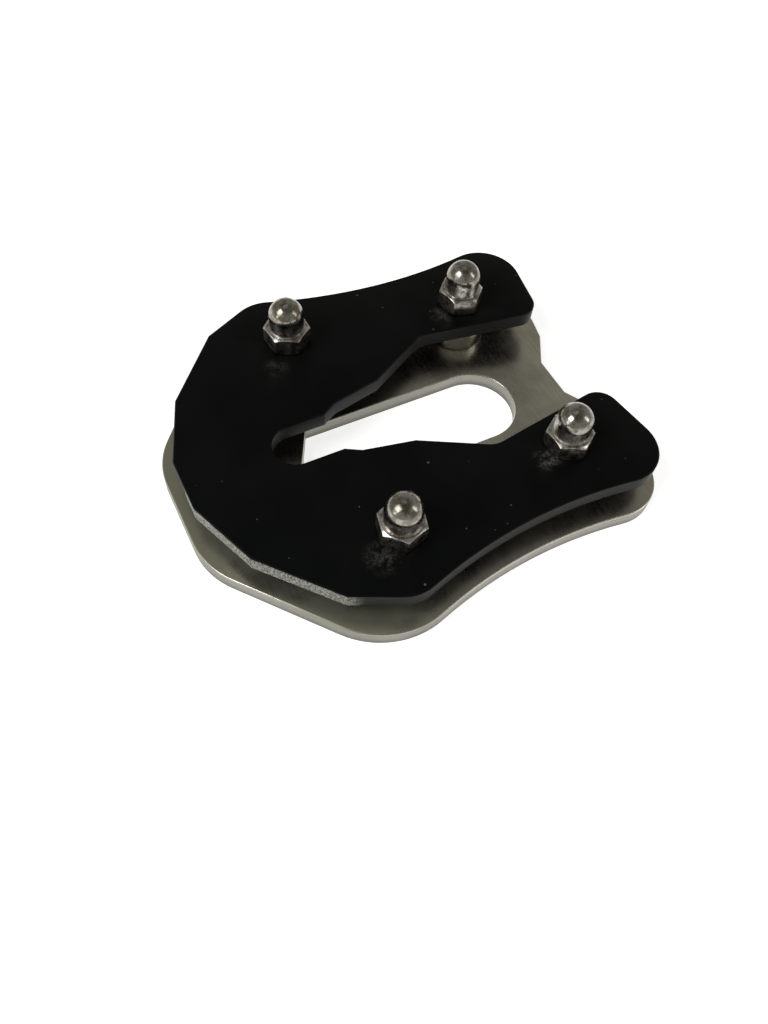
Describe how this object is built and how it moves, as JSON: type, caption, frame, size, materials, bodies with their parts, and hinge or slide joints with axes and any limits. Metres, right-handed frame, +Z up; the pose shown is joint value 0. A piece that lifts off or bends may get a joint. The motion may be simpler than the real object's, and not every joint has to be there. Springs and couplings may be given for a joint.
{
  "type": "kickstand foot enlarger",
  "caption": "Wide clamp-on pad for a motorbike side stand: a black forked plate bolted over a slotted stainless base with domed nuts.",
  "frame": {"origin": "centre of the overall box, on the base plate's underside", "axes": "+X along the axis of symmetry towards the open end, +Z up out of the ground"},
  "size_m": [0.1083, 0.0968, 0.0265],
  "materials": {
    "brushed_stainless": "brushed",
    "black_coating": "satin black coating",
    "turned_stainless": "turned",
    "screw_stainless": "plain",
    "polished_stainless": "polished"
  },
  "bodies": {
    "root": {"base_plate": "brushed_stainless", "clamp_plate": "black_coating", "spacer_back_left": "turned_stainless", "spacer_front_left": "turned_stainless", "spacer_back_right": "turned_stainless", "spacer_front_right": "turned_stainless", "screw_back_left": "screw_stainless", "screw_front_left": "screw_stainless", "screw_back_right": "screw_stainless", "screw_front_right": "screw_stainless", "cap_nut_back_left": "polished_stainless", "cap_nut_front_left": "polished_stainless", "cap_nut_back_right": "polished_stainless", "cap_nut_front_right": "polished_stainless"}
  },
  "joints": []
}
